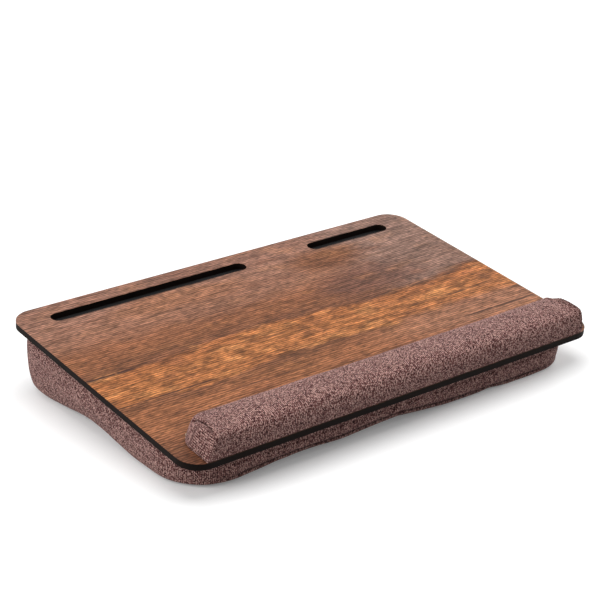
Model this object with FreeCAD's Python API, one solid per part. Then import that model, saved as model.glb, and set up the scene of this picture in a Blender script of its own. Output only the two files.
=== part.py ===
import FreeCAD, Part
import math
import os
from FreeCAD import Vector

# Cushioned lap desk with a padded wrist rest and two device slots, in millimetres.
# Every piece is drawn square to the board: X along its long side, Y from the front edge to
# the rear edge, Z up from its underside. At the end each piece is tilted and lifted, so that
# the desk stands on its cushion with Z = 0 at the table and the origin under its middle.

# Board
board_width = 550.0
board_depth = 350.0
board_corner_radius = 25.0
core_thickness = 6.8
laminate_thickness = 0.4
backing_thickness = 0.3
board_thickness = backing_thickness + core_thickness + laminate_thickness

# How the desk stands
board_tilt = 6.8
front_height = 34.0

# Device slots
slot_width = 18.0
slot_rear_margin = 29.0
phone_slot_length = 120.0
phone_slot_side_margin = 38.0
tablet_slot_length = 260.0
tablet_slot_side_margin = 38.0

# Cloth, tape and running clearances
cloth_thickness = 1.2
tape_thickness = 0.4
soft_clearance = 0.3
overrun = 2.0

# Wrist rest
pad_depth = 54.0
pad_height = 28.6
pad_front_inset = 0.5
pad_left_margin = 20.0
pad_right_margin = 20.0
pad_corner_radius = 24.0
pad_end_depth = 9.0
pad_end_drop = 6.6
pad_turning = 12.0
pad_strip_thickness = 2.0
pad_strip_margin = 3.0
pad_tape_width = 12.0
pad_tape_gap = 6.0
pad_tape_margin = 20.0

# Wrist rest outline, front foot to rear foot, as shares of its depth and height
pad_outline_shares = [
    (0.0, 0.0),
    (-0.002, 0.35),
    (0.031, 0.717),
    (0.093, 0.909),
    (0.231, 1.0),
    (0.546, 0.99),
    (0.806, 0.93),
    (0.919, 0.857),
    (0.991, 0.58),
    (0.994, 0.28),
    (0.985, 0.0),
]

# How the ends of the wrist rest fall away: share of the corner radius in from the end, and
# share of the end drop. The seam of the end panel lies between the fourth pair and the fifth.
pad_fall_shares = [
    (0.0, 1.0),
    (0.05, 0.62),
    (0.12, 0.38),
    (0.22, 0.22),
    (0.67, 0.04),
    (1.0, 0.0),
]
pad_seam_fall_share = 0.15
pad_lean_share = 0.6

# Cushion outline
cushion_side_inset = 5.0
cushion_front_inset = 8.0
cushion_rear_inset = 6.0
cushion_front_radius = 62.0
cushion_rear_radius = 36.0
cushion_width = board_width - 2 * cushion_side_inset

# Cushion fullness
seam_draw = 4.0
seam_drop = 3.0
side_tuck = 1.5
base_front_radius = 9.0
base_rear_radius = 20.0
base_rear_end_radius = 42.0
base_run = 12.0
crown_rise = 1.6
crown_middle_inset = 72.0
crown_inner_inset = 120.0
flat_depth = 0.5
arch_height = 7.5
front_contact = 100.0
rear_contact = 290.0
valley_end_height = 9.0
valley_middle_height = 17.0

# Cushion section, as shares of its height or of the runs between its points
bulge_share = 0.42
round_bulge_share = 0.29
valley_bend_share = 0.44

# Stations from front to rear: turns round each end in degrees, and shares between the ends
end_turns = [0.0, 15.0, 30.0, 50.0, 70.0, 90.0]
middle_shares = [0.2, 0.4, 0.6, 0.8]

# Cushion panels
band_seam_height = 14.0
base_side_margin = 100.0
base_end_margin = 40.0
base_room_drop = 6.0
web_thickness = 1.0
lining_thickness = cloth_thickness

# Tape under the board
tape_strip_width = 25.0
tape_strip_length = 440.0
tape_row_shares = [0.12, 0.37, 0.62, 0.83]

# Values that follow
tilt_angle = math.radians(board_tilt)
slot_middle_y = board_depth - slot_rear_margin
front_reach = board_thickness * math.sin(tilt_angle)
rear_reach = board_depth * math.cos(tilt_angle)
standing_middle = (rear_reach - front_reach) / 2
pad_left = -board_width / 2 + pad_left_margin
pad_right = board_width / 2 - pad_right_margin


def box(x_low, x_high, y_low, y_high, z_low, z_high):
    corner = Vector(x_low, y_low, z_low)
    return Part.makeBox(x_high - x_low, y_high - y_low, z_high - z_low, corner)


def stand(shape):
    placed = shape.copy()
    placed.rotate(Vector(0, 0, 0), Vector(1, 0, 0), board_tilt)
    placed.translate(Vector(0, -standing_middle, front_height))
    return placed


def rounded_plate(width, depth, radius, z_low, thickness):
    plate = box(-width / 2, width / 2, 0, depth, z_low, z_low + thickness)
    uprights = [
        edge
        for edge in plate.Edges
        if abs(edge.Vertexes[0].X - edge.Vertexes[1].X) + abs(edge.Vertexes[0].Y - edge.Vertexes[1].Y) == 0
    ]
    return plate.makeFillet(radius, uprights)


def slot_cutter(x_low, length):
    # A slot with half round ends, long enough to pass through the whole board.
    radius = slot_width / 2
    low = -overrun
    height = board_thickness + 2 * overrun
    left = Part.makeCylinder(radius, height, Vector(x_low + radius, slot_middle_y, low))
    right = Part.makeCylinder(radius, height, Vector(x_low + length - radius, slot_middle_y, low))
    middle = box(
        x_low + radius,
        x_low + length - radius,
        slot_middle_y - radius,
        slot_middle_y + radius,
        low,
        low + height,
    )
    return left.fuse([right, middle]).removeSplitter()


def board_sheet(z_low, thickness):
    sheet = rounded_plate(board_width, board_depth, board_corner_radius, z_low, thickness)
    phone_left = board_width / 2 - phone_slot_side_margin - phone_slot_length
    tablet_left = -board_width / 2 + tablet_slot_side_margin
    phone_slot = slot_cutter(phone_left, phone_slot_length)
    tablet_slot = slot_cutter(tablet_left, tablet_slot_length)
    return sheet.cut([phone_slot, tablet_slot])


def make_board():
    backing = board_sheet(0, backing_thickness)
    core = board_sheet(backing_thickness, core_thickness)
    laminate = board_sheet(backing_thickness + core_thickness, laminate_thickness)
    return {
        "board_backing_sheet": backing,
        "board_core_panel": core,
        "board_woodgrain_laminate": laminate,
    }


def closed_wire(points, rounded):
    # Arcs through each three points in turn, or straight runs where the inside of a cover or
    # its filling needs no more, and a straight run back to the start.
    if rounded:
        curves = [Part.Arc(*points[step : step + 3]) for step in range(0, len(points) - 2, 2)]
    else:
        curves = [Part.LineSegment(*points[step : step + 2]) for step in range(len(points) - 1)]
    curves.append(Part.LineSegment(points[-1], points[0]))
    return Part.Wire([curve.toShape() for curve in curves])


def pad_wire(x, from_end, drop, inset, foot):
    # The wrist rest outline at a distance from its end, where the rear corner is rounded in
    # plan, the top drops and the front leans back. The inset draws it in all round.
    short = max(pad_corner_radius - from_end, 0)
    rear_draw = pad_corner_radius - math.sqrt(pad_corner_radius**2 - short**2)
    low = board_thickness + foot
    depth = pad_depth - rear_draw - 2 * inset
    height = pad_height - drop - inset - foot
    points = []
    for across, up in pad_outline_shares:
        lean = pad_lean_share * drop * up * (1 - across)
        y = pad_front_inset + inset + across * depth + lean
        points.append(Vector(x, y, low + up * height))
    return closed_wire(points, inset == 0)


def pad_end(x_end, inward, inset, foot):
    # One end of the wrist rest: a puffed end panel, its seam, and the run up to full size.
    places = [
        (depth_share * pad_corner_radius, fall_share * pad_end_drop)
        for depth_share, fall_share in pad_fall_shares
    ]
    places.append((pad_end_depth, pad_seam_fall_share * pad_end_drop))
    wires = [
        pad_wire(x_end + inward * max(from_end, inset), from_end, drop, inset, foot)
        for from_end, drop in sorted(places)
    ]
    return Part.makeLoft(wires, True, True)


def pad_form(inset, foot):
    x_low = pad_left + pad_corner_radius
    x_high = pad_right - pad_corner_radius
    face = Part.Face(pad_wire(x_low, pad_corner_radius, 0, inset, foot))
    middle = face.extrude(Vector(x_high - x_low, 0, 0))
    left = pad_end(pad_left, 1, inset, foot)
    right = pad_end(pad_right, -1, inset, foot)
    return middle.fuse([left, right])


def make_wrist_rest():
    x_left_seam = pad_left + pad_end_depth
    x_right_seam = pad_right - pad_end_depth
    y_low = pad_front_inset - overrun
    y_high = pad_front_inset + pad_depth + overrun
    z_low = board_thickness
    z_high = board_thickness + pad_height + overrun
    shell = pad_form(0, 0).cut(pad_form(cloth_thickness, cloth_thickness))
    window = box(
        x_left_seam + pad_turning,
        x_right_seam - pad_turning,
        pad_front_inset + pad_turning,
        pad_front_inset + pad_depth - pad_turning,
        z_low - overrun,
        z_low + cloth_thickness,
    )
    left_room = box(pad_left - overrun, x_left_seam, y_low, y_high, z_low - overrun, z_high)
    right_room = box(x_right_seam, pad_right + overrun, y_low, y_high, z_low - overrun, z_high)
    middle_room = box(x_left_seam, x_right_seam, y_low, y_high, z_low - overrun, z_high)
    strip_low = z_low + cloth_thickness
    strip_high = strip_low + pad_strip_thickness
    strip = box(
        pad_left + pad_end_depth,
        pad_right - pad_end_depth,
        pad_front_inset + pad_strip_margin,
        pad_front_inset + pad_depth - pad_strip_margin,
        strip_low,
        strip_high,
    )
    below_strip = box(pad_left, pad_right, y_low, y_high, z_low - overrun, strip_high)
    foam_inset = cloth_thickness + soft_clearance
    foam = pad_form(foam_inset, foam_inset).cut(below_strip)
    tapes = []
    tape_middle = pad_front_inset + pad_depth / 2
    for side in (-1, 1):
        tape_y = tape_middle + side * (pad_tape_gap + pad_tape_width) / 2
        tapes.append(
            box(
                x_left_seam + pad_tape_margin,
                x_right_seam - pad_tape_margin,
                tape_y - pad_tape_width / 2,
                tape_y + pad_tape_width / 2,
                z_low,
                z_low + cloth_thickness,
            )
        )
    return {
        "wrist_rest_sleeve": shell.common(middle_room).cut(window),
        "wrist_rest_end_left": shell.common(left_room),
        "wrist_rest_end_right": shell.common(right_room),
        "wrist_rest_foam": foam,
        "wrist_rest_base_strip": strip,
        "wrist_rest_tape_strips": Part.makeCompound(tapes),
    }


def half_wave(position, first, last):
    # Rises smoothly from nothing at the first place to one half way, and back at the last.
    share = min(max((position - first) / (last - first), 0), 1)
    return math.sin(math.pi * share) ** 2


def table_level(y, lift):
    # The height, square to the board, of a point at this depth that stands clear by the lift.
    return (lift - front_height - y * math.sin(tilt_angle)) / math.cos(tilt_angle)


def end_stations(radius, inset):
    # Distances in from one end of the cushion, each with how far the sides are drawn in there.
    reach = radius - inset
    turns = [math.radians(turn) for turn in end_turns]
    return [(reach * (1 - math.cos(turn)), reach * (1 - math.sin(turn))) for turn in turns]


def cushion_stations(inset):
    # Depths from front to rear, each with its distance from the nearer end and its draw.
    first = cushion_front_inset + inset
    last = board_depth - cushion_rear_inset - inset
    front = [(first + run, run, draw) for run, draw in end_stations(cushion_front_radius, inset)]
    rear = [(last - run, run, draw) for run, draw in end_stations(cushion_rear_radius, inset)]
    start = first + cushion_front_radius - inset
    run = last - cushion_rear_radius + inset - start
    middle = [(start + share * run, cushion_rear_radius, 0) for share in middle_shares]
    return front + middle + rear[::-1]


def cushion_wire(y, from_end, draw, inset):
    half = cushion_width / 2 - inset - draw
    drop = seam_drop * max(0, 1 - from_end / seam_draw)
    rearward = y / board_depth
    base_radius = base_front_radius + (base_rear_radius - base_front_radius) * rearward
    end_radius = base_front_radius + (base_rear_end_radius - base_front_radius) * rearward
    short = max(end_radius - from_end, 0)
    end_rise = end_radius - math.sqrt(end_radius**2 - short**2)
    lift = arch_height * half_wave(y, front_contact, rear_contact) - flat_depth
    top = -tape_thickness - inset - drop
    base = table_level(y, lift + end_rise) + inset
    deepening = half_wave(y, cushion_front_inset, board_depth - cushion_rear_inset)
    valley_rise = valley_end_height + (valley_middle_height - valley_end_height) * deepening
    seam = Vector(half - seam_draw, y, top)
    bulge = Vector(half, y, top - bulge_share * (top - base))
    fullness = (top - base) / (top - base + end_rise)
    foot = Vector(half - side_tuck, y, base + fullness * base_radius)
    heel = Vector(foot.x - base_run, y, base + crown_rise)
    turn = Vector(
        foot.x + round_bulge_share * (heel.x - foot.x),
        y,
        heel.z + round_bulge_share * (foot.z - heel.z),
    )
    shrink = half / (cushion_width / 2)
    crown = Vector(half - crown_middle_inset * shrink, y, base)
    inner = Vector(half - crown_inner_inset * shrink, y, base + crown_rise)
    crest = Vector(0, y, base + valley_rise)
    bend = Vector(inner.x / 2, y, inner.z + valley_bend_share * (crest.z - inner.z))
    right_run = [seam, bulge, foot, turn, heel, crown, inner, bend, crest]
    left_run = [Vector(-point.x, y, point.z) for point in reversed(right_run[:-1])]
    points = right_run + left_run
    return closed_wire(points, inset == 0)


def cushion_form(inset):
    wires = [cushion_wire(y, run, draw, inset) for y, run, draw in cushion_stations(inset)]
    return Part.makeLoft(wires, True, True)


def make_cushion():
    reach_x = board_width / 2 + overrun
    reach_y = board_depth + overrun
    lining_low = -tape_thickness - lining_thickness
    depth_below = table_level(reach_y, -overrun)
    shell = cushion_form(0).cut(cushion_form(cloth_thickness))
    lining_room = box(-reach_x, reach_x, -overrun, reach_y, lining_low, overrun)
    lining = shell.common(lining_room)
    walls = shell.cut(lining_room)
    filling = cushion_form(cloth_thickness + soft_clearance)
    web_room = box(-web_thickness / 2, web_thickness / 2, -overrun, reach_y, depth_below, 0)
    web = filling.common(web_room)
    half_web = web_thickness / 2 + soft_clearance
    left_half = box(-reach_x, -half_web, -overrun, reach_y, depth_below, 0)
    right_half = box(half_web, reach_x, -overrun, reach_y, depth_below, 0)

    # The side band stops at a level seam just above the table, and the base panels run from
    # there to the seam along the valley between the two bolsters.
    standing_walls = stand(walls)
    reach = board_width
    below_seam = box(-reach, reach, -reach, reach, -reach, band_seam_height)
    inner = board_width / 2 - base_side_margin
    inner_room = stand(
        box(
            -inner,
            inner,
            base_end_margin,
            board_depth - base_end_margin,
            depth_below,
            lining_low - base_room_drop,
        )
    )
    base_room = below_seam.fuse(inner_room)
    table = box(-reach, reach, -reach, reach, -reach, 0)
    base = standing_walls.common(base_room).cut(table)
    left_world = box(-reach, 0, -reach, reach, -reach, reach)
    right_world = box(0, reach, -reach, reach, -reach, reach)
    return {
        "cushion_top_lining": stand(lining),
        "cushion_side_band": standing_walls.cut(base_room),
        "cushion_base_left": base.common(left_world),
        "cushion_base_right": base.common(right_world),
        "cushion_filling_left": stand(filling.common(left_half)),
        "cushion_filling_right": stand(filling.common(right_half)),
        "cushion_centre_web": stand(web),
    }


def make_tape_strips():
    strips = []
    for share in tape_row_shares:
        middle = share * board_depth
        strips.append(
            box(
                -tape_strip_length / 2,
                tape_strip_length / 2,
                middle - tape_strip_width / 2,
                middle + tape_strip_width / 2,
                -tape_thickness,
                0,
            )
        )
    return {"cushion_tape_strips": Part.makeCompound(strips)}


os.makedirs("parts", exist_ok=True)
pieces = {}
for flat_group in (make_board(), make_wrist_rest(), make_tape_strips()):
    for name, shape in flat_group.items():
        pieces[name] = stand(shape)
pieces.update(make_cushion())

for name, shape in pieces.items():
    shape.exportStep("parts/" + name + ".step")
    bounds = shape.BoundBox
    span = (bounds.XMin, bounds.XMax, bounds.YMin, bounds.YMax, bounds.ZMin, bounds.ZMax)
    print(name, len(shape.Solids), "solid", shape.isValid(), [round(value, 1) for value in span])
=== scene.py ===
import bpy
import math
import numpy as np
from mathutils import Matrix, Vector, noise


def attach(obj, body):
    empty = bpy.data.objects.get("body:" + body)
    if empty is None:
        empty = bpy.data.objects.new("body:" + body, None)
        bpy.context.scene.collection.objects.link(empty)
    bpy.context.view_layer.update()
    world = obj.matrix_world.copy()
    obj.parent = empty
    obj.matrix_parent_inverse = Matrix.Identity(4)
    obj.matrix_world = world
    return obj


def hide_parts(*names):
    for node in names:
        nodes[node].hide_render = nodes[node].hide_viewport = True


# Cushioned lap desk in metres. Shapes are drawn square to the board: x along its long side,
# y from its front edge to its rear edge, z up from its underside, and then tilted into place.

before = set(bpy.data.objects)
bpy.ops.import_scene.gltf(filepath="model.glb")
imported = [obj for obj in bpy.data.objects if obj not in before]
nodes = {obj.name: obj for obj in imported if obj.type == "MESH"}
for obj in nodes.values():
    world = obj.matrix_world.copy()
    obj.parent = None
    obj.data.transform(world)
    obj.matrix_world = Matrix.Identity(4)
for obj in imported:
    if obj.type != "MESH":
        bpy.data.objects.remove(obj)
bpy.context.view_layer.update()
print("frame loaded:", len(nodes), "nodes")

desk = {
    "tilt": math.radians(6.8),
    "frontHeight": 0.034,
    "width": 0.55,
    "depth": 0.35,
    "thickness": 0.0075,
}
tiny = 1e-9
standBack = (desk["depth"] * math.cos(desk["tilt"]) - desk["thickness"] * math.sin(desk["tilt"])) / 2


def toWorld(points):
    points = np.asarray(points, float)
    cosine, sine = math.cos(desk["tilt"]), math.sin(desk["tilt"])
    y = points[..., 1] * cosine - points[..., 2] * sine - standBack
    z = points[..., 1] * sine + points[..., 2] * cosine + desk["frontHeight"]
    return np.stack([points[..., 0], y, z], axis=-1)


def smoothLine(points, count, spanSteps=24):
    # A flowing line through the given points, cut into even steps.
    points = np.asarray(points, float)
    padded = np.vstack([2 * points[0] - points[1], points, 2 * points[-1] - points[-2]])
    share = np.linspace(0, 1, spanSteps, endpoint=False)[:, None]
    pieces = []
    for before, start, end, after in zip(padded, padded[1:], padded[2:], padded[3:]):
        reach = max(np.linalg.norm(end - start), tiny)
        into = (end - before) / (reach + np.linalg.norm(start - before) + tiny) * reach
        out = (after - start) / (reach + np.linalg.norm(after - end) + tiny) * reach
        pieces.append(
            (2 * share**3 - 3 * share**2 + 1) * start
            + (share**3 - 2 * share**2 + share) * into
            + (3 * share**2 - 2 * share**3) * end
            + (share**3 - share**2) * out
        )
    line = np.vstack(pieces + [points[-1:]])
    return pointsAt(line, np.linspace(0, runsOf(line)[-1], count))


def runsOf(line):
    # How far along the line each of its points lies.
    return np.concatenate([[0], np.cumsum(np.linalg.norm(np.diff(line, axis=0), axis=1))])


def pointsAt(line, wanted):
    # The places on the line at the wanted distances along it.
    return np.stack([np.interp(wanted, runsOf(line), values) for values in line.T], axis=1)


def closedRing(ring):
    return np.vstack([ring, ring[:1]])


def softStep(low, high, value):
    # From 0 at low to 1 at high, whichever is the greater.
    share = np.clip((value - low) / (high - low), 0, 1)
    return share * share * (3 - 2 * share)


def bell(value, width):
    return np.exp(-((value / width) ** 2))


def lumps(points, size, seed):
    # Gentle unevenness from -1 to 1, the same on every run.
    offset = Vector((seed * 7.31, seed * 3.17, seed * 5.03))
    return np.array([noise.noise(Vector(point) / size + offset) for point in points])


def unevenness(points, waves):
    # Lumps of several sizes together, each given as its size, seed and height.
    return sum(lumps(points, size, seed) * height for size, seed, height in waves)


# Meshes made of rings

def newObject(name, data):
    made = bpy.data.objects.new(name, data)
    bpy.context.scene.collection.objects.link(made)
    return made


def ringMesh(name, rings, weave, marks, closing=0):
    # Quads between closed rings, and each end closed by a strip that joins its two sides from
    # the point named by closing. weave holds the cloth's own place at every ring point with the
    # first point repeated, in metres along and across.
    rings = np.asarray(rings, float)
    ringCount, pointCount = rings.shape[:2]
    faces, uvs = [], []
    for ring in range(ringCount - 1):
        low, high = ring * pointCount, (ring + 1) * pointCount
        for place in range(pointCount):
            following = (place + 1) % pointCount
            faces.append((low + place, high + place, high + following, low + following))
            around = ((0, 0), (1, 0), (1, 1), (0, 1))
            uvs += [weave[ring + up][place + along] for up, along in around]
    for ring, turned in ((0, False), (ringCount - 1, True)):
        first, last = 0, pointCount - 1
        while last - first > 1:
            corners = [first, first + 1, last - 1, last]
            if last - first == 2:
                corners = [first, first + 1, last]
            corners = [(closing + corner) % pointCount for corner in corners]
            if turned:
                corners.reverse()
            faces.append(tuple(ring * pointCount + corner for corner in corners))
            uvs += [weave[ring][corner] for corner in corners]
            first, last = first + 1, last - 1
    mesh = bpy.data.meshes.new(name)
    mesh.from_pydata([tuple(point) for point in rings.reshape(-1, 3)], [], faces)
    cloth = mesh.uv_layers.new(name="cloth")
    cloth.data.foreach_set("uv", np.asarray(uvs, np.float32).ravel())
    piece = newObject(name, mesh)
    for label, values in marks.items():
        setMark(piece, label, values)
    mesh.update()
    return piece


def readFloats(source, label, width=1):
    flat = np.zeros(len(source) * width, np.float32)
    source.foreach_get(label, flat)
    return flat.reshape(-1, width).astype(float)


def places(piece):
    return readFloats(piece.data.vertices, "co", 3)


def setPlaces(piece, points):
    piece.data.vertices.foreach_set("co", np.asarray(points, np.float32).ravel())
    piece.data.update()


def outward(piece):
    return readFloats(piece.data.vertices, "normal", 3)


def mark(piece, label):
    return readFloats(piece.data.attributes[label].data, "value")[:, 0]


def setMark(piece, label, values):
    attribute = piece.data.attributes.new(label, "FLOAT", "POINT")
    attribute.data.foreach_set("value", np.asarray(values, np.float32).ravel())


def settled(piece):
    # The piece with its modifiers made part of its mesh.
    evaluated = piece.evaluated_get(bpy.context.evaluated_depsgraph_get())
    mesh = bpy.data.meshes.new_from_object(evaluated)
    piece.modifiers.clear()
    piece.data = mesh
    return piece


def refine(piece):
    finer = piece.modifiers.new("finer", "SUBSURF")
    finer.levels = finer.render_levels = 1
    finer.uv_smooth = "NONE"
    return settled(piece)


def smoothShade(piece):
    piece.data.polygons.foreach_set("use_smooth", [True] * len(piece.data.polygons))
    piece.data.update()


def puffUp(piece, held, plan):
    # The cover swells round its filling as cloth under pressure, held where it is fixed down.
    scene = bpy.context.scene
    resting = places(piece)
    group = piece.vertex_groups.new(name="held")
    group.add([int(index) for index in np.nonzero(held)[0]], 1.0, "REPLACE")
    cloth = piece.modifiers.new("puff", "CLOTH")
    settings = {
        "quality": 5, "mass": 0.3, "use_pressure": True, "uniform_pressure_force": plan["pressure"],
        "tension_stiffness": plan["stiffness"], "compression_stiffness": plan["stiffness"],
        "shear_stiffness": plan["stiffness"] / 3, "bending_stiffness": plan["bending"],
        "vertex_group_mass": "held",
    }
    for name, value in settings.items():
        setattr(cloth.settings, name, value)
    cloth.settings.effector_weights.gravity = 0
    cloth.point_cache.frame_start = 1
    cloth.point_cache.frame_end = plan["frames"]
    scene.frame_start, scene.frame_end = 1, plan["frames"]
    for step in range(1, plan["frames"] + 1):
        scene.frame_set(step)
    evaluated = piece.evaluated_get(bpy.context.evaluated_depsgraph_get())
    swollen = readFloats(evaluated.data.vertices, "co", 3)
    piece.modifiers.clear()
    piece.vertex_groups.clear()
    scene.frame_set(1)
    move = swollen - resting
    length = np.maximum(np.linalg.norm(move, axis=1, keepdims=True), tiny)
    print(piece.name, "swelled by", np.round(np.percentile(length, [50, 90, 100]) * 1000, 2), "mm")
    setPlaces(piece, resting + move * np.minimum(1, plan["cap"] / length))


# Wrist rest

wristRest = {
    "depth": 0.0551,
    "height": 0.0286,
    "frontInset": -0.0006,
    "left": -0.255,
    "right": 0.255,
    # Each end: how its plan is rounded at the rear, how far the top falls, how far the panel
    # leans in at the top, and how far it swells.
    "ends": {
        -1: {"radius": 0.022, "fall": 0.0022, "lean": 0.0105, "puff": 0.0012},
        1: {"radius": 0.013, "fall": -0.0038, "lean": 0.0066, "puff": 0.0018},
    },
    "leanReach": 0.06,
    "sectionLean": 0.6,
    "outline": [
        (0.0, 0.0), (-0.008, 0.07), (-0.009, 0.3), (-0.005, 0.56), (0.010, 0.775), (0.050, 0.933),
        (0.14, 0.990), (0.3, 1.003), (0.42, 1.003), (0.546, 0.99), (0.7, 0.962), (0.806, 0.93),
        (0.919, 0.845), (0.975, 0.7), (0.994, 0.5), (0.996, 0.28), (0.985, 0.0),
    ],
    "fall": [(0, 1), (0.05, 0.62), (0.12, 0.38), (0.22, 0.22), (0.375, 0.13), (0.67, 0.04), (1, 0)],
    "start": 0.0005,
    "recess": 0.0034,
    "turning": 0.012,
    # Rings by their distance from an end, then even steps to the middle, and the rings that
    # close each end panel as shares of its rim.
    "nearEnd": [0, 0.0008, 0.0018, 0.003, 0.0045, 0.006, 0.0072, 0.0082, 0.009, 0.0098, 0.0108, 0.012,
                0.0135, 0.0155, 0.018, 0.021, 0.024],
    "evenFrom": 0.0275,
    "evenStep": 0.0035,
    "panelShares": [0.996, 0.97, 0.92, 0.82, 0.68, 0.5, 0.3, 0.12],
    "sectionPoints": 46,
    "heldHeight": 0.004,
    "seam": {"tuck": 0.005, "width": 0.0013, "depth": 0.0004, "rearDepth": 0.0024,
             "ridgeAt": 0.004, "ridgeWidth": 0.0024, "ridge": 0.0009, "shadeWidth": 0.0011, "panelShade": 0.16},
    "uneven": [(0.045, 3, 0.00045), (0.017, 9, 0.00016)],
    "swelling": {"pressure": 1.5, "stiffness": 60.0, "bending": 2.0, "frames": 16, "cap": 0.0016},
}


def wristRestSection(fromEnd, end):
    # The outline across the rest at a distance from its end, from the front foot to the rear one.
    rest = wristRest
    radius = end["radius"]
    short = max(radius - fromEnd, 0)
    depth = rest["depth"] - (radius - math.sqrt(radius**2 - short**2))
    shares, falls = zip(*rest["fall"])
    drop = end["fall"] * float(np.interp(fromEnd / radius, shares, falls))
    depth -= 2 * rest["start"]
    height = rest["height"] - drop - rest["start"]
    outline = smoothLine(rest["outline"], rest["sectionPoints"])
    across, up = outline[:, 0], outline[:, 1]
    y = rest["frontInset"] + rest["start"] + across * depth + rest["sectionLean"] * drop * up * (1 - across)
    z = desk["thickness"] + up * height
    return np.stack([y, z], axis=1)


def wristRestFoot(section, fromEnd):
    # The underside back from the rear foot to the front one, with the room for the strip.
    front, rear = section[0], section[-1]
    run = rear[0] - front[0]
    low = section[0][1]
    high = low + wristRest["recess"] * float(softStep(0.004, 0.0085, fromEnd))
    turning = min(wristRest["turning"], run * 0.3)
    steps = [(0.003, 0), (turning - 0.002, 0), (turning, 1)]
    points = [(rear[0] - step, high if raised else low) for step, raised in steps]
    points += [(front[0] + run * share, high) for share in (0.62, 0.5, 0.38)]
    points += [(front[0] + step, high if raised else low) for step, raised in reversed(steps)]
    return np.array(points)


wristSeams = {}


def makeWristRest():
    rest = wristRest
    halfLength = (rest["right"] - rest["left"]) / 2
    middle = np.arange(rest["evenFrom"], halfLength, rest["evenStep"])
    half = [(rest["left"] + run, run) for run in [*rest["nearEnd"], *middle]]
    stations = half + [(0.0, halfLength)] + [(-x, run) for x, run in reversed(half)]
    rings = [ringAt(station) for station in stations]
    sleeve = sleeveWeave(np.array(rings))
    along = [np.full(len(rings[0]), min(station[1], 0.2)) for station in stations]
    weave = list(sleeve)
    for side, rim in ((-1, rings[0]), (1, rings[-1])):
        for share in rest["panelShares"]:
            ring = panelRing(rim, share, side)
            at = 0 if side < 0 else len(rings)
            rings.insert(at, ring)
            weave.insert(at, closedRing(ring)[:, [2, 1]])
            along.insert(at, np.full(len(ring), 0.0 if share > 0.99 else -0.02 * (1 - share)))
    panelRings = len(rest["panelShares"])
    wristSeams.update(count=len(rings[0]), rims=(panelRings, len(rings) - 1 - panelRings))
    return ringMesh("wristRestCover", rings, weave, {"along": along})


def sleeveWeave(rings):
    # The cloth of the sleeve: its run from the middle along each line of points, and its run
    # across from the front foot.
    closed = np.concatenate([rings, rings[:, :1]], axis=1)
    steps = np.linalg.norm(np.diff(closed, axis=0), axis=2)
    middle = len(rings) // 2
    runs = np.zeros(closed.shape[:2])
    runs[middle + 1:] = np.cumsum(steps[middle:], axis=0)
    runs[:middle] = -np.cumsum(steps[:middle][::-1], axis=0)[::-1]
    across = np.cumsum(np.linalg.norm(np.diff(closed, axis=1), axis=2), axis=1)
    across = np.concatenate([np.zeros((len(rings), 1)), across], axis=1)
    return np.stack([runs, across], axis=2)


def panelRing(rim, share, side):
    # One ring of the puffed end panel, drawn in towards its middle and pushed out.
    middle = (rim.min(0) + rim.max(0)) / 2
    ring = middle + (rim - middle) * share
    ring[:, 0] += side * wristRest["ends"][side]["puff"] * (1 - share**2)
    return ring


def ringAt(station):
    section = wristRestSection(station[1], wristRest["ends"][-1 if station[0] < 0 else 1])
    loop = np.vstack([section, wristRestFoot(section, station[1])])
    return np.stack([np.full(len(loop), station[0]), loop[:, 0], loop[:, 1]], axis=1)


wristRestCover = makeWristRest()
restHeld = places(wristRestCover)[:, 2] < desk["thickness"] + wristRest["heldHeight"]
puffUp(wristRestCover, restHeld, wristRest["swelling"])
refine(wristRestCover)


def leanEnds(points):
    # Both end panels lean in towards the top.
    rest = wristRest
    up = np.clip((points[:, 2] - desk["thickness"]) / rest["height"] - 0.12, 0, 1) / 0.88
    for side, at in ((-1, rest["left"]), (1, rest["right"])):
        near = np.clip(1 - side * (at - points[:, 0]) / rest["leanReach"], 0, 1)
        points[:, 0] -= side * rest["ends"][side]["lean"] * up * near**2
    return points


def finishWristRest(piece):
    seam = wristRest["seam"]
    setPlaces(piece, leanEnds(places(piece)))
    points = places(piece)
    along = mark(piece, "along")
    height = (points[:, 2] - desk["thickness"]) / wristRest["height"]
    inPlace = softStep(0.0, 0.25, height)
    rear = softStep(0.004, 0.022, points[:, 1])
    overTop = softStep(0.6, 0.9, height)
    # The seam round each end panel, drawn in deepest over the rear shoulder.
    tuck = along - seam["tuck"] * rear * overTop
    groove = bell(tuck, seam["width"]) * (seam["depth"] + seam["rearDepth"] * rear * overTop)
    ridge = bell(tuck - seam["ridgeAt"], seam["ridgeWidth"]) * seam["ridge"] * overTop
    move = (ridge - groove + unevenness(points, wristRest["uneven"])) * inPlace
    # The end panels are a fixed share darker, and painted shade lies in the seam's crease, deepest where the seam
    # is drawn in over the rear shoulder.
    onPanel = softStep(0.0008, -0.0008, along) * seam["panelShade"]
    shadeInSeam = bell(tuck, seam["shadeWidth"]) * (0.15 + 0.75 * rear * overTop) * inPlace
    setMark(piece, "seam", np.clip(onPanel + shadeInSeam, 0, 1))
    points = points + outward(piece) * move[:, None]
    points[:, 2] = np.maximum(points[:, 2], desk["thickness"] + 0.00005)
    setPlaces(piece, toWorld(points))
    smoothShade(piece)


finishWristRest(wristRestCover)
print("wrist rest:", len(wristRestCover.data.polygons), "faces")

# Cushion

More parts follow.
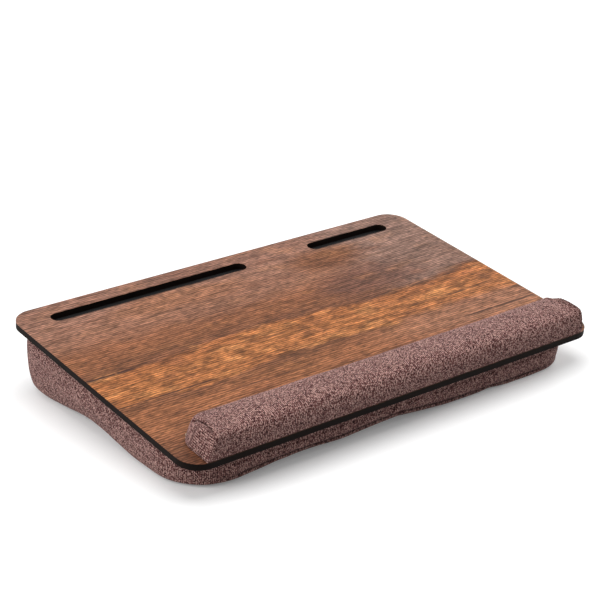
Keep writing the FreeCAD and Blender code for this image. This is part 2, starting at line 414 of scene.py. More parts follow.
cushion = {
    "sideReach": 0.27,
    "front": 0.008,
    "rear": 0.344,
    "frontRadius": 0.062,
    "rearRadius": 0.036,
    "top": -0.0018,
    "seamDraw": 0.004,
    "sideTuck": 0.0015,
    "bulgeShare": 0.42,
    "frontBaseRadius": 0.004,
    "rearBaseRadius": 0.02,
    "rearEndRadius": 0.054,
    "sideRun": 0.012,
    "flat": 0.0005,
    "arch": 0.0075,
    "frontContact": 0.1,
    "rearContact": 0.29,
    "valleyEnd": 0.009,
    "valleyMiddle": 0.017,
    # How far the front edge is lifted, or sags where below zero, from left to right.
    "frontLift": [(-0.24, 0), (-0.2, 0.003), (-0.16, 0.005), (-0.12, 0.0045), (-0.08, 0.003), (-0.04, 0.006),
                  (0.0, 0.0074), (0.03, 0.0035), (0.06, 0.0), (0.11, -0.002), (0.16, -0.0025), (0.2, -0.0015)],
    "crownRise": 0.0016,
    "crownInset": 0.072,
    "innerInset": 0.12,
    "spine": 0.102,
    "start": 0.0008,
    "gathered": 0.024,
    "closeStep": 0.002,
    "wideStep": 0.0049,
    "lidShares": [0.08, 0.2, 0.35, 0.5, 0.65, 0.78, 0.88, 0.95, 0.985],
    "nearTop": [0, 0.001, 0.002, 0.003, 0.004, 0.005, 0.0062, 0.008, 0.0105],
    "heldDepth": 0.0035,
    # Heights and places given in pairs hold all round, and are added to in front.
    "rolledSeam": {"at": 0.0036, "width": 0.0019, "height": (0.0009, 0.0008),
                   "foldAt": (0.0074, 0.002), "foldWidth": 0.0012, "fold": (0.0006, 0.0009)},
    "pleat": {"at": -0.0105, "lean": 0.35, "depth": 0.012, "width": 0.0016, "sink": 0.003,
              "beside": 0.0045, "besideWidth": 0.003, "besideHeight": 0.0009},
    "uneven": [(0.06, 5, 0.0007), (0.022, 8, 0.00025)],
    "swelling": {"pressure": 1.0, "stiffness": 60.0, "bending": 2.0, "frames": 20, "cap": 0.0026},
}


def halfWave(value, first, last):
    return np.sin(math.pi * np.clip((value - first) / (last - first), 0, 1)) ** 2


def tableLevel(y, lift):
    return (lift - desk["frontHeight"] - y * math.sin(desk["tilt"])) / math.cos(desk["tilt"])


def cushionOutline():
    # The plan of the cushion from the middle of the front, round by the right side, with
    # closer steps where the front is gathered.
    front, rear, side = cushion["front"], cushion["rear"], cushion["sideReach"]
    corners = [
        (side - cushion["frontRadius"], front + cushion["frontRadius"], cushion["frontRadius"], -90),
        (side - cushion["rearRadius"], rear - cushion["rearRadius"], cushion["rearRadius"], 0),
    ]
    half = [(0.0, front)]
    for middleX, middleY, radius, start in corners:
        for turn in np.radians(np.linspace(start, start + 90, 31)):
            half.append((middleX + radius * math.cos(turn), middleY + radius * math.sin(turn)))
    half.append((0.0, rear))
    half = np.array(half)
    total, gathered = runsOf(half)[-1], cushion["gathered"]
    near = np.arange(0, gathered, cushion["closeStep"])
    far = np.linspace(gathered, total, int((total - gathered) / cushion["wideStep"]))
    wanted = np.concatenate([near, far])
    right = pointsAt(half, wanted)
    left = right[-2:0:-1] * [-1, 1]
    outline = np.vstack([right, left])
    run = np.concatenate([wanted, -wanted[-2:0:-1]])
    return outline, run


def spineOf(plan):
    # The middle line that the lid, the base and the lining close on.
    x = np.clip(plan[:, 0], -cushion["spine"], cushion["spine"])
    return np.column_stack([x, np.full(len(x), (cushion["front"] + cushion["rear"]) / 2)])


def inwardOf(outline):
    tangent = np.roll(outline, -1, axis=0) - np.roll(outline, 1, axis=0)
    tangent /= np.linalg.norm(tangent, axis=1, keepdims=True)
    return np.stack([-tangent[:, 1], tangent[:, 0]], axis=1)


def underside(x, y):
    # The base panels: two bolsters that rest near their corners, an arch from side to side and
    # a valley from front to rear between the bolsters.
    shape = cushion
    lift = shape["arch"] * halfWave(y, shape["frontContact"], shape["rearContact"]) - shape["flat"]
    draw = 0
    for far, radius in ((y - shape["front"], shape["frontRadius"]), (shape["rear"] - y, shape["rearRadius"])):
        draw = draw + radius * (1 - np.sqrt(1 - np.clip(1 - far / radius, 0, 1) ** 2))
    half = shape["sideReach"] - draw
    shrink = half / shape["sideReach"]
    valleyEnd = shape["valleyEnd"] * softStep(0.03, 0.08, y)
    deepening = halfWave(y, shape["front"], shape["rear"])
    valley = valleyEnd + (shape["valleyMiddle"] - valleyEnd) * deepening
    sides, lifts = zip(*shape["frontLift"])
    lift = lift + np.interp(x, sides, lifts) * (1 - softStep(0.02, 0.09, y))
    endShort = np.clip(shape["rearEndRadius"] - (shape["rear"] - y), 0, None)
    lift = lift + shape["rearEndRadius"] - np.sqrt(shape["rearEndRadius"] ** 2 - endShort**2)
    inner = half - shape["innerInset"] * shrink
    crown = half - shape["crownInset"] * shrink
    side = np.abs(x)
    rise = shape["crownRise"]
    # Down the bolster's flank as a soft S, and then nearly level to the side.
    toInner = np.clip(side / inner, 0, 1)
    flank = valley + (rise - valley) * (toInner * (1.12 - 0.12 * toInner))
    toCrown = softStep(inner, crown, side)
    height = np.where(side < inner, flank, rise * (1 - toCrown))
    return tableLevel(y, lift) + height


cushionSeams = {}


def cushionRings():
    shape = cushion
    outline, run = cushionOutline()
    inward = inwardOf(outline)
    startIn = shape["start"]
    y = outline[:, 1]
    baseRadius = shape["frontBaseRadius"] + (shape["rearBaseRadius"] - shape["frontBaseRadius"]) * y / desk["depth"]
    facing = np.abs(inward[:, 1])
    cornerRun = shape["sideRun"] + (baseRadius - shape["sideRun"]) * facing
    footPlan = outline + inward * (shape["sideTuck"] + startIn)
    footLevel = underside(footPlan[:, 0], footPlan[:, 1]) + baseRadius + startIn
    heelPlan = footPlan + inward * cornerRun[:, None]
    spine = spineOf(heelPlan)
    seamAt = np.pi / 8 * (baseRadius + cornerRun) + shape["top"] - footLevel
    rings, depths, kinds = [], [], []

    def addRing(plan, level, depth, kind):
        rings.append(np.column_stack([plan, np.broadcast_to(level, len(y))]))
        depths.append(np.broadcast_to(depth, len(y)))
        kinds.append(kind)

    topPlan = outline + inward * (shape["seamDraw"] + startIn)
    for share in shape["lidShares"]:
        addRing(spine + (topPlan - spine) * share, shape["top"], -0.02, 0)
    wallHeight = shape["top"] - footLevel
    downs = shape["nearTop"]
    lower = np.linspace(0, 1, 10)[1:]
    steps = [np.full(len(y), down) for down in downs]
    steps += [downs[-1] + share * (wallHeight - downs[-1]) for share in lower]
    bulge = shape["bulgeShare"]
    for down in steps:
        share = down / wallHeight
        above = shape["seamDraw"] * np.clip(1 - share / bulge, 0, 1) ** 2
        below = shape["sideTuck"] * np.clip((share - bulge) / (1 - bulge), 0, 1) ** 2
        addRing(outline + inward * (above + below + startIn)[:, None], shape["top"] - down, down, 1)
    first = kinds.index(1)
    cushionSeams.update(baseRing=len(rings) + 2, bandRings=(first + 2, len(rings) + 2))
    for turn in np.radians([15, 30, 45, 60, 75, 90]):
        plan = footPlan + inward * (cornerRun * (1 - math.cos(turn)))[:, None]
        level = underside(plan[:, 0], plan[:, 1]) + startIn + baseRadius * (1 - math.sin(turn))
        addRing(plan, level, wallHeight + turn * (baseRadius + cornerRun) / 2, 1)
    for share in np.linspace(1, 0.02, 30)[1:]:
        plan = spine + (heelPlan - spine) * share
        addRing(plan, underside(plan[:, 0], plan[:, 1]) + startIn, depths[-1] + 0.004, 2)
    depths = np.array(depths)
    return np.array(rings), depths, kinds, run, depths - seamAt


def makeCushion():
    rings, depths, kinds, run, toSeam = cushionRings()
    # The cloth's run round the band, counted on from the middle of the front.
    around = runsOf(closedRing(rings[kinds.index(1) + 5])[:, :2])
    weave = []
    for ring, depth, kind in zip(rings, depths, kinds):
        if kind == 1:
            weave.append(np.column_stack([around, np.append(depth, depth[0])]))
        else:
            weave.append(closedRing(ring)[:, :2])
    marks = {
        "run": [run] * len(rings), "depth": depths, "toSeam": toSeam,
        "panel": [np.full(len(run), kind) for kind in kinds],
    }
    return ringMesh("cushionCover", rings, weave, marks, int(rings[-1][:, 0].argmax()))


cushionCover = makeCushion()
onTop = mark(cushionCover, "depth") < cushion["heldDepth"]
onWeb = (np.abs(places(cushionCover)[:, 0]) < 0.003) & (mark(cushionCover, "panel") > 1.5)
puffUp(cushionCover, onTop | onWeb, cushion["swelling"])
refine(cushionCover)


def finishCushion(piece):
    rolling, pleating = cushion["rolledSeam"], cushion["pleat"]
    points = places(piece)
    depth = mark(piece, "depth")
    run = mark(piece, "run")
    toSeam = mark(piece, "toSeam")
    onBand = softStep(0.0, 0.002, depth)
    front = bell(np.maximum(np.abs(run) - 0.19, 0), 0.03)
    height, foldAt, fold = (rolling[name][0] + rolling[name][1] * front for name in ("height", "foldAt", "fold"))
    # A rolled seam under the board's edge, with the fold that hangs below it along the front.
    rolled = bell(depth - rolling["at"], rolling["width"]) * height
    rolled -= bell(depth - foldAt, rolling["foldWidth"]) * fold
    # The turned-under seam between the band and the base panels, rolled up higher in front.
    rim = bell(toSeam + 0.0026, 0.0016) * 0.0007 * (1 - front) - bell(toSeam, 0.0009) * 0.0013
    rim += (bell(toSeam + 0.0018, 0.0016) * 0.0009 - bell(toSeam + 0.0052, 0.0012) * 0.0017) * front
    # Cloth gathered into a slanting pleat at the middle of the front.
    off = depth - pleating["depth"]
    slant = run - pleating["at"] + off * pleating["lean"]
    pleat = bell(slant, pleating["width"]) * bell(off, 0.006) * pleating["sink"]
    beside = sum(bell(slant + side * pleating["beside"], pleating["besideWidth"]) for side in (-1, 1))
    pleat -= beside * bell(off, 0.008) * pleating["besideHeight"]
    move = (rolled + rim - pleat + unevenness(points, cushion["uneven"])) * onBand
    # Painted shade: the cloth is darkened in the fold below the rolled seam and along the turned-under base seam.
    # Along the front it is also darkened in a line in the groove above the rim and on the underside below it, and
    # in the pleat.
    shaded = bell(depth - foldAt, 0.0011) * 0.3 + bell(toSeam - 0.0003, 0.0011) * 0.4
    shaded += (bell(toSeam + 0.0052, 0.0017) + softStep(-0.0028, 0.0, toSeam) * 0.7) * front
    shaded += bell(slant, 0.0018) * bell(off, 0.006) * 0.8
    setMark(piece, "seam", np.clip(shaded, 0, 1) * onBand)
    points = points + outward(piece) * move[:, None]
    points = toWorld(points)
    points[:, 2] = np.maximum(points[:, 2], 0.0)
    setPlaces(piece, points)
    smoothShade(piece)


finishCushion(cushionCover)
print("cushion:", len(cushionCover.data.polygons), "faces")

# Lining under the board, seen through the slots

lining = {
    "high": -0.0005,
    "low": -0.0016,
    "inset": 0.0046,
    "shares": [0.06, 0.15, 0.25, 0.35, 0.45, 0.55, 0.63, 0.7, 0.76, 0.82, 0.87, 0.91, 0.95, 0.98, 1.0],
    "sag": 0.00035,
    "sagMost": 0.0006,
}


def makeLining():
    outline = cushionOutline()[0]
    rim = outline + inwardOf(outline) * lining["inset"]
    spine, shares = spineOf(rim), lining["shares"]
    rings, weave = [], []
    for level, order in ((lining["high"], shares), (lining["low"], shares[::-1])):
        for share in order:
            plan = spine + (rim - spine) * share
            rings.append(np.column_stack([plan, np.full(len(plan), level)]))
            weave.append(closedRing(plan))
    return ringMesh("cushionLining", rings, weave, {}, int(rings[0][:, 0].argmax()))


cushionLining = makeLining()


def finishLining(piece):
    points = places(piece)
    sag = lining["sag"] * (1 + lumps(points * [1, 1, 0], 0.03, 2)) * softStep(0, 0.02, 0.26 - np.abs(points[:, 0]))
    points[:, 2] -= np.clip(sag, 0, lining["sagMost"]) * (points[:, 2] > (lining["high"] + lining["low"]) / 2)
    setPlaces(piece, toWorld(points))
    smoothShade(piece)


finishLining(cushionLining)
print("lining:", len(cushionLining.data.polygons), "faces")

# Materials

def add(tree, kind, inputs=None, **settings):
    made = tree.nodes.new(kind)
    for name, value in settings.items():
        setattr(made, name, value)
    for key, value in (inputs or {}).items():
        if isinstance(value, bpy.types.NodeSocket):
            tree.links.new(value, made.inputs[key])
        else:
            made.inputs[key].default_value = value
    return made


def shader(tree, kind, inputs=None, **settings):
    return add(tree, "ShaderNode" + kind, inputs, **settings)


def calc(tree, operation, *values, clamp=False):
    given = dict(enumerate(values))
    return shader(tree, "Math", given, operation=operation, use_clamp=clamp).outputs[0]


def times(tree, *values):
    return calc(tree, "MULTIPLY", *values)


def timesPlus(tree, *values):
    return calc(tree, "MULTIPLY_ADD", *values)


def blendColour(tree, factor, first, second, way="MIX"):
    mixer = shader(tree, "Mix", {0: factor, 6: first, 7: second}, data_type="RGBA", blend_type=way)
    return mixer.outputs[2]


def ramp(tree, factor, stops):
    made = shader(tree, "ValToRGB", {0: factor})
    band = made.color_ramp
    while len(band.elements) < len(stops):
        band.elements.new(0.5)
    for element, (position, colour) in zip(band.elements, stops):
        element.position = position
        element.color = (*colour, 1)
    return made.outputs[0]


def ranged(tree, value, low, high, newLow=0.0, newHigh=1.0):
    given = {0: value, 1: low, 2: high, 3: newLow, 4: newHigh}
    return shader(tree, "MapRange", given, interpolation_type="SMOOTHSTEP").outputs[0]


def objectPlace(tree):
    return shader(tree, "TexCoord").outputs["Object"]


def speckle(tree, vector, scale, detail=2.0, rough=0.5, stretch=(1, 1, 1)):
    placed = shader(tree, "Mapping", {0: vector, 3: stretch})
    look = {"Vector": placed.outputs[0], "Scale": scale, "Detail": detail, "Roughness": rough}
    return shader(tree, "TexNoise", look).outputs[0]


def seenLight(tree):
    # 1 where the view sees it, by itself or in a shine, and 0 for the light it gives to others.
    path = shader(tree, "LightPath").outputs
    seen = path["Is Camera Ray"]
    for ray in ("Is Glossy Ray", "Is Transmission Ray"):
        seen = calc(tree, "ADD", seen, path[ray], clamp=True)
    return seen


def newMaterial(name, rough, specular, settings=()):
    material = bpy.data.materials.new(name)
    material.use_nodes = True
    tree = material.node_tree
    surface = tree.nodes["Principled BSDF"]
    for key, value in {"Roughness": rough, "Specular IOR Level": specular, **dict(settings)}.items():
        surface.inputs[key].default_value = value
    return material, tree, surface


def paint(surface, colour):
    surface.id_data.links.new(colour, surface.inputs["Base Color"])


def relief(tree, surface, height, distance, strength=1.0):
    bump = shader(tree, "Bump", {"Height": height, "Distance": distance, "Strength": strength})
    tree.links.new(bump.outputs[0], surface.inputs["Normal"])


melange = {
    "column": 0.00105,
    "row": 0.00095,
    "dash": 0.0022,
    "tones": [
        (0.26, (0.03, 0.007, 0.009)), (0.42, (0.178, 0.076, 0.069)),
        (0.56, (0.178, 0.076, 0.069)), (0.8, (0.59, 0.36, 0.315)),
    ],
    # Near-black blended in where the covers carry painted shade in folds, creases and seams.
    "seam": (0.008, 0.003, 0.003),
    "relief": 0.0003,
    "warp": 0.0001,
    "warpScale": 320.0,
    "seamShade": 0.85,
    # How much each part of the tone counts: the stitch, its dash, slubs, fibres, and odd columns.
    "mix": {"stitch": 0.72, "dash": 0.28, "slub": 0.12, "fibre": 0.16, "odd": -0.26},
}


def wobbled(tree, place, scale, reach):
    wander = shader(tree, "TexNoise", {"Vector": place, "Scale": scale, "Detail": 1.0})
    centred = shader(tree, "VectorMath", {0: wander.outputs[1], 1: (0.5,) * 3}, operation="SUBTRACT")
    given = {0: centred.outputs[0], 1: (reach,) * 3, 2: place}
    return shader(tree, "VectorMath", given, operation="MULTIPLY_ADD").outputs[0]


def grey(tree, value):
    return shader(tree, "CombineColor", {0: value, 1: value, 2: value}).outputs[0]


def chanceOf(tree, first, second):
    pair = shader(tree, "CombineXYZ", {0: first, 1: second})
    return shader(tree, "TexWhiteNoise", {"Vector": pair.outputs[0]}, noise_dimensions="3D").outputs[0]


def lobeOf(tree, share, sharpness):
    away = calc(tree, "ABSOLUTE", timesPlus(tree, share, 2.0, -1.0))
    return calc(tree, "SUBTRACT", 1.0, calc(tree, "POWER", away, sharpness))


def makeMelange(name):
    # Two-tone yarn: rows of stitches in columns, with dashes of a few stitches of one tone.
    sheen = {"Sheen Weight": 0.14, "Sheen Roughness": 0.4, "Sheen Tint": (0.9, 0.74, 0.7, 1)}
    material, tree, surface = newMaterial(name, 0.9, 0.12, sheen)
    mix = melange["mix"]
    cloth = shader(tree, "UVMap", uv_map="cloth").outputs[0]
    split = shader(tree, "SeparateXYZ", {0: wobbled(tree, cloth, melange["warpScale"], melange["warp"])})
    column = calc(tree, "DIVIDE", split.outputs[0], melange["column"])
    columnIndex = calc(tree, "FLOOR", column)
    odd = calc(tree, "MODULO", calc(tree, "ABSOLUTE", columnIndex), 2.0)
    row = timesPlus(tree, columnIndex, 0.37, calc(tree, "DIVIDE", split.outputs[1], melange["row"]))
    stitchTone = chanceOf(tree, columnIndex, calc(tree, "FLOOR", row))
    dash = calc(tree, "DIVIDE", split.outputs[1], melange["dash"])
    dash = calc(tree, "ADD", dash, chanceOf(tree, columnIndex, 0.5))
    dashTone = chanceOf(tree, calc(tree, "ADD", columnIndex, 0.25), calc(tree, "FLOOR", dash))
    across = lobeOf(tree, calc(tree, "FRACT", column), 2.2)
    lobe = times(tree, across, lobeOf(tree, calc(tree, "FRACT", dash), 7.0))
    stitch = lobeOf(tree, calc(tree, "FRACT", row), 3.0)
    fibre = speckle(tree, cloth, 2200.0, 2.0, 0.6, (1.0, 0.5, 1))
    slub = speckle(tree, cloth, 85.0, 2.0, 0.5, (1.0, 0.6, 1))
    tone = times(tree, dashTone, mix["dash"])
    for part, weight in ((stitchTone, "stitch"), (slub, "slub"), (fibre, "fibre"), (odd, "odd")):
        tone = timesPlus(tree, part, mix[weight], tone)
    yarn = ramp(tree, tone, melange["tones"])
    gap = ranged(tree, lobe, 0.0, 0.55, 0.42, 1.0)
    knit = blendColour(tree, 1.0, yarn, grey(tree, gap), "MULTIPLY")
    # Painted shade in folds, creases and seams, carried on the covers' mark and blended towards near-black.
    seam = shader(tree, "Attribute", attribute_name="seam").outputs["Fac"]
    seam = times(tree, seam, melange["seamShade"])
    paint(surface, blendColour(tree, seam, knit, (*melange["seam"], 1)))
    height = timesPlus(tree, fibre, 0.25, timesPlus(tree, stitch, 0.25, lobe))
    relief(tree, surface, height, melange["relief"], 0.8)
    return material


clothMaterial = makeMelange("melangeCloth")


def makeLiningCloth():
    material, tree, surface = newMaterial("liningCloth", 0.95, 0.2)
    weave = speckle(tree, objectPlace(tree), 1500.0, 2.0, 0.6, (1, 0.4, 1))
    paint(surface, ramp(tree, weave, [(0.3, (0.006, 0.006, 0.006)), (0.8, (0.022, 0.021, 0.021))]))
    relief(tree, surface, weave, 0.0003)
    return material


liningMaterial = makeLiningCloth()


def boardPlace(tree):
    # Places on the board with x from its left end and y from its front edge.
    toCorner = (desk["width"] / 2, standBack, -desk["frontHeight"])
    lowered = shader(tree, "Mapping", {0: objectPlace(tree), 1: toCorner})
    turned = shader(tree, "Mapping", {0: lowered.outputs[0], 2: (-desk["tilt"], 0, 0)})
    return turned.outputs[0]


woodGrain = {
    # Tones across the board, from its front edge to its rear one. The dark stops next to the front edge are partly
    # the wood's own tone and partly painted shade beside the wrist rest's left end.
    "bands": [
        (0.03, (0.117, 0.043, 0.019)), (0.1, (0.178, 0.067, 0.031)), (0.19, (0.264, 0.1, 0.043)),
        (0.3, (0.255, 0.095, 0.039)), (0.35, (0.163, 0.062, 0.027)), (0.365, (0.333, 0.12, 0.039)),
        (0.45, (0.353, 0.129, 0.041)), (0.523, (0.326, 0.112, 0.036)), (0.54, (0.156, 0.059, 0.027)),
        (0.6, (0.21, 0.078, 0.033)), (0.66, (0.232, 0.087, 0.039)), (0.73, (0.244, 0.108, 0.063)),
        (0.85, (0.259, 0.125, 0.082)), (1.0, (0.232, 0.113, 0.078)),
    ],
    # Patches that stand out from their band: middle, half size, tone, strength.
    "patches": [
        (0.392, 0.287, 0.05, 0.026, (0.175, 0.062, 0.024), 0.9),
        (0.4, 0.222, 0.07, 0.026, (0.118, 0.05, 0.034), 0.8),
        (0.18, 0.29, 0.09, 0.02, (0.31, 0.125, 0.058), 0.6),
        (0.27, 0.06, 0.12, 0.02, (0.16, 0.06, 0.027), 0.6),
        (0.47, 0.1, 0.13, 0.026, (0.31, 0.142, 0.082), 0.75),
        # The front-left corner: partly the wood's own darker tone and partly painted shade beside the wrist rest's
        # left end.
        (0.0, 0.0, 0.05, 0.03, (0.13, 0.048, 0.024), 0.7),
    ],
    # Painted sheen on the right rear of the top.
    "sheenGreyPink": (0.225, 0.134, 0.104),
    "yellow": (0.49, 0.21, 0.072),
    "ruddy": (0.17, 0.06, 0.03),
    "line": (0.045, 0.018, 0.012),
    # Dark open cracks along the grain: height on the board, where each starts and ends, strength.
    "cracks": [
        (0.187, -0.02, 0.07, 1.0), (0.1265, -0.02, 0.13, 0.8), (0.0945, 0.43, 0.56, 0.9),
        (0.1845, 0.36, 0.56, 0.5), (0.243, 0.16, 0.31, 0.4), (0.0985, 0.1, 0.24, 0.5), (0.168, 0.18, 0.27, 0.45),
        (0.272, 0.3, 0.45, 0.4), (0.312, 0.05, 0.2, 0.35), (0.146, 0.4, 0.53, 0.5),
    ],
    # Noise along the grain: detail, roughness, and how fine it is along and across the board.
    "noises": {
        "sway": (2.0, 0.5, 5.0, 9.0), "ragged": (3.0, 0.6, 26.0, 60.0),
        "streaks": (3.0, 0.55, 7.0, 60.0), "lines": (3.0, 0.65, 30.0, 230.0), "hair": (2.0, 0.6, 120.0, 640.0),
        "pores": (2.0, 0.5, 130.0, 700.0), "figure": (4.0, 0.65, 48.0, 105.0), "mottle": (3.0, 0.6, 16.0, 42.0),
        "broken": (2.0, 0.5, 90.0, 30.0),
    },
    # How streaks, fine lines, hairs and waves darken and lighten: from, to, darkest, lightest.
    "shades": {
        "streaks": (0.3, 0.7, 0.86, 1.14), "lines": (0.36, 0.6, 0.68, 1.16), "hair": (0.3, 0.65, 0.5, 1.34),
        "waves": (0.0, 0.8, 0.58, 1.22),
    },
    "waves": {"Scale": 92.0, "Distortion": 3.2, "Detail": 2.0, "Detail Scale": 1.4, "Detail Roughness": 0.6},
    "waveLength": 0.16,
}


def makeWood():
    material, tree, surface = newMaterial("woodGrain", 0.5, 0.13)
    place = boardPlace(tree)
    split = shader(tree, "SeparateXYZ", {0: place})
    x, y = split.outputs[0], split.outputs[1]
    marks = {}
    for name, (detail, rough, along, across) in woodGrain["noises"].items():
        marks[name] = speckle(tree, place, 1.0, detail, rough, (along, across, 1))
    stretched = shader(tree, "Mapping", {0: place, 3: (woodGrain["waveLength"], 1, 1)}).outputs[0]
    waves = {"Vector": stretched, **woodGrain["waves"]}
    marks["waves"] = shader(tree, "TexWave", waves, bands_direction="Y").outputs[1]
    sway = timesPlus(tree, marks["sway"], 0.044, -0.022)
    ragged = timesPlus(tree, marks["ragged"], 0.02, -0.01)
    bent = calc(tree, "ADD", calc(tree, "ADD", y, sway), ragged)
    tones = ramp(tree, calc(tree, "DIVIDE", bent, desk["depth"]), woodGrain["bands"])
    # A greyer and pinker stretch behind on the right, painted sheen of light glancing off the top, and patches of
    # another tone.
    right = times(tree, ranged(tree, x, 0.37, 0.46), ranged(tree, bent, 0.185, 0.2))
    tones = blendColour(tree, times(tree, right, 0.8), tones, (*woodGrain["sheenGreyPink"], 1))
    for atX, atY, halfX, halfY, tone, strength in woodGrain["patches"]:
        away = shader(tree, "CombineXYZ", {
            0: calc(tree, "DIVIDE", calc(tree, "SUBTRACT", x, atX), halfX),
            1: calc(tree, "DIVIDE", calc(tree, "SUBTRACT", bent, atY), halfY),
        })
        far = shader(tree, "VectorMath", {0: away.outputs[0]}, operation="LENGTH").outputs[1]
        tones = blendColour(tree, ranged(tree, far, 1.5, 0.5, 0.0, strength), tones, (*tone, 1))
    golden = times(tree, ranged(tree, bent, 0.118, 0.13), ranged(tree, bent, 0.2, 0.182))
    shade = 1.0
    for name, limits in woodGrain["shades"].items():
        shade = times(tree, shade, ranged(tree, marks[name], *limits))
    # The figure across the grain, strongest in the golden band, and its yellow and ruddy spots.
    figured = calc(tree, "SUBTRACT", ranged(tree, marks["figure"], 0.3, 0.7, 0.5, 1.42), 1.0)
    cross = timesPlus(tree, golden, 0.6, 0.4)
    shade = times(tree, shade, timesPlus(tree, figured, cross, 1.0))
    yellow = timesPlus(tree, golden, 0.55, 0.15)
    yellow = times(tree, ranged(tree, marks["mottle"], 0.5, 0.72), yellow)
    tones = blendColour(tree, yellow, tones, (*woodGrain["yellow"], 1))
    ruddy = times(tree, ranged(tree, marks["mottle"], 0.46, 0.3), 0.4)
    tones = blendColour(tree, ruddy, tones, (*woodGrain["ruddy"], 1))
    toned = blendColour(tree, 1.0, tones, grey(tree, shade), "MULTIPLY")
    # Pores and cracks, open and dark.
    opened = times(tree, ranged(tree, marks["pores"], 0.6, 0.72), 0.5)
    broken = ranged(tree, marks["broken"], 0.28, 0.4)
    lightlyBent = timesPlus(tree, sway, 0.15, y)
    for height, start, end, strength in woodGrain["cracks"]:
        away = calc(tree, "ABSOLUTE", calc(tree, "SUBTRACT", lightlyBent, height))
        crack = times(tree, ranged(tree, away, 0.0018, 0.0007), ranged(tree, x, start, start + 0.02))
        crack = times(tree, crack, ranged(tree, x, end, end - 0.02))
        crack = times(tree, times(tree, crack, broken), strength)
        opened = calc(tree, "MAXIMUM", opened, crack)
    toned = blendColour(tree, opened, toned, (*woodGrain["line"], 1))
    paint(surface, toned)
    tree.links.new(ranged(tree, marks["lines"], 0.3, 0.7, 0.56, 0.42), surface.inputs["Roughness"])
    relief(tree, surface, calc(tree, "SUBTRACT", marks["hair"], opened), 0.00012, 0.6)
    return material


woodMaterial = makeWood()


def makeBoardEdge(name, tone, rough):
    material, tree, surface = newMaterial(name, rough, 0.035)
    place = objectPlace(tree)
    grain = speckle(tree, place, 900.0, 3.0, 0.6)
    scuff = speckle(tree, place, 40.0, 3.0, 0.6, (1, 1, 3))
    mixed = timesPlus(tree, grain, 0.5, times(tree, scuff, 0.5))
    darker = tuple(value * 0.6 for value in tone)
    lighter = tuple(value * 1.5 for value in tone)
    paint(surface, ramp(tree, mixed, [(0.3, darker), (0.7, lighter)]))
    tree.links.new(ranged(tree, scuff, 0.3, 0.7, rough - 0.06, rough + 0.08), surface.inputs["Roughness"])
    relief(tree, surface, mixed, 0.00008, 0.5)
    return material


edgeMaterial = makeBoardEdge("boardEdge", (0.0075, 0.005, 0.004), 0.55)
backingMaterial = makeBoardEdge("backingSheet", (0.020, 0.019, 0.018), 0.6)
tapeMaterial = makeBoardEdge("adhesiveTape", (0.55, 0.54, 0.5), 0.5)
stripMaterial = makeBoardEdge("stiffStrip", (0.36, 0.28, 0.19), 0.7)


def dress(piece, material):
    piece.data.materials.clear()
    piece.data.materials.append(material)


nodeMaterials = {
    "board_woodgrain_laminate": woodMaterial, "board_core_panel": edgeMaterial,
    "board_backing_sheet": backingMaterial, "wrist_rest_tape_strips": tapeMaterial,
    "cushion_tape_strips": tapeMaterial, "wrist_rest_base_strip": stripMaterial,
}
for node, material in nodeMaterials.items():
    dress(nodes[node], material)
dress(wristRestCover, clothMaterial)
dress(cushionCover, clothMaterial)
dress(cushionLining, liningMaterial)
print("materials ready")

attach(wristRestCover, "root")
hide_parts("wrist_rest_sleeve", "wrist_rest_end_left", "wrist_rest_end_right", "wrist_rest_foam")
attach(cushionCover, "root")
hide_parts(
    "cushion_side_band", "cushion_base_left", "cushion_base_right",
    "cushion_filling_left", "cushion_filling_right", "cushion_centre_web",
)
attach(cushionLining, "root")
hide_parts("cushion_top_lining")

# Stitches

stitching = {
    "spacing": 0.0042,
    "length": 0.003,
    "thickness": 0.0008,
    "seed": 4,
    "turn": 0.12,
    "tone": (0.09, 0.035, 0.035),
    "lightTone": 1.6,
    "proud": 0.0002,
    "bandProud": 0.0003,
    "valleyGap": 0.003,
    "valleyClear": 0.004,
    "valleySteps": 90,
    "endPoints": (3, 43),
}


def makeStitchTree(material):
    tree = bpy.data.node_groups.new("stitchRow", "GeometryNodeTree")
    takes = {"Geometry": "Geometry", "Spacing": "Float", "Length": "Float", "Thickness": "Float", "Seed": "Int"}
    for name, kind in takes.items():
        tree.interface.new_socket(name, in_out="INPUT", socket_type="NodeSocket" + kind)
    tree.interface.new_socket("Geometry", in_out="OUTPUT", socket_type="NodeSocketGeometry")
    given = add(tree, "NodeGroupInput").outputs
    spots = add(tree, "GeometryNodeCurveToPoints", {"Curve": given[0], "Length": given["Spacing"]}, mode="LENGTH")
    thread = add(tree, "GeometryNodeMeshUVSphere", {"Segments": 6, "Rings": 5, "Radius": 0.5})
    turn = stitching["turn"]
    chance = {0: (-turn,) * 3, 1: (turn,) * 3, "Seed": given["Seed"]}
    twist = add(tree, "FunctionNodeRandomValue", chance, data_type="FLOAT_VECTOR")
    both = {0: spots.outputs["Rotation"], 1: twist.outputs[0]}
    turned = add(tree, "FunctionNodeRotateRotation", both, rotation_space="LOCAL")
    size = shader(tree, "CombineXYZ", {0: given["Thickness"], 1: given["Thickness"], 2: given["Length"]})
    row = add(tree, "GeometryNodeInstanceOnPoints", {
        "Points": spots.outputs[0], "Instance": thread.outputs[0],
        "Rotation": turned.outputs[0], "Scale": size.outputs[0],
    })
    solid = add(tree, "GeometryNodeRealizeInstances", {0: row.outputs[0]})
    rounded = add(tree, "GeometryNodeSetShadeSmooth", {0: solid.outputs[0]})
    dressed = add(tree, "GeometryNodeSetMaterial", {"Geometry": rounded.outputs[0], "Material": material})
    add(tree, "NodeGroupOutput", {0: dressed.outputs[0]})
    return tree


def makeThread():
    material, tree, surface = newMaterial("sewingThread", 0.7, 0.3)
    fibre = speckle(tree, objectPlace(tree), 3500.0, 2.0, 0.6)
    tone = stitching["tone"]
    lighter = [value * stitching["lightTone"] for value in tone]
    paint(surface, blendColour(tree, fibre, (*tone, 1), (*lighter, 1)))
    relief(tree, surface, fibre, 0.0001)
    return material


